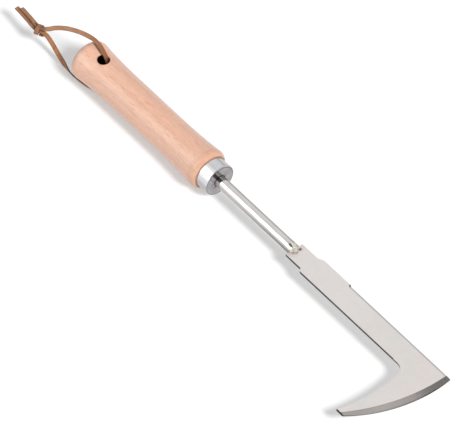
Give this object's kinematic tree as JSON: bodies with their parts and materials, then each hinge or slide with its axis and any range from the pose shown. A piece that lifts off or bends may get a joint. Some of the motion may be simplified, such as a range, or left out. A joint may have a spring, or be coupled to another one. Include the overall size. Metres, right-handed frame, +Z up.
{
  "type": "crack weeder",
  "caption": "Hand weeder for paving joints: turned wooden handle with a leather hanging loop, ferrule, round steel shank and a flat hooked blade with a ground outer edge.",
  "frame": {"origin": "under the middle of the rigid tool's box, at the level of the lowest line of the handle", "axes": "+X along the tool from the butt to the blade's edge, -Y towards the hook's tip, +Z up, square to the blade's flat faces"},
  "size_m": [0.407, 0.076, 0.0305],
  "materials": {
    "handle_wood": "clear satin lacquer on turned beech",
    "ferrule_chrome": "bright plated",
    "shank_steel": "polished round bar",
    "blade_steel": "fine satin plate with ground bevels",
    "weld_metal": "straw coloured weld",
    "lace_leather": "undyed cut lace"
  },
  "bodies": {
    "root": {"handle": "handle_wood", "ferrule": "ferrule_chrome", "shank": "shank_steel", "blade": "blade_steel", "weld_bead": "weld_metal", "lace_upper": "lace_leather", "lace_bore": "lace_leather", "lace_lower": "lace_leather", "lace_knot": "lace_leather"}
  },
  "joints": []
}
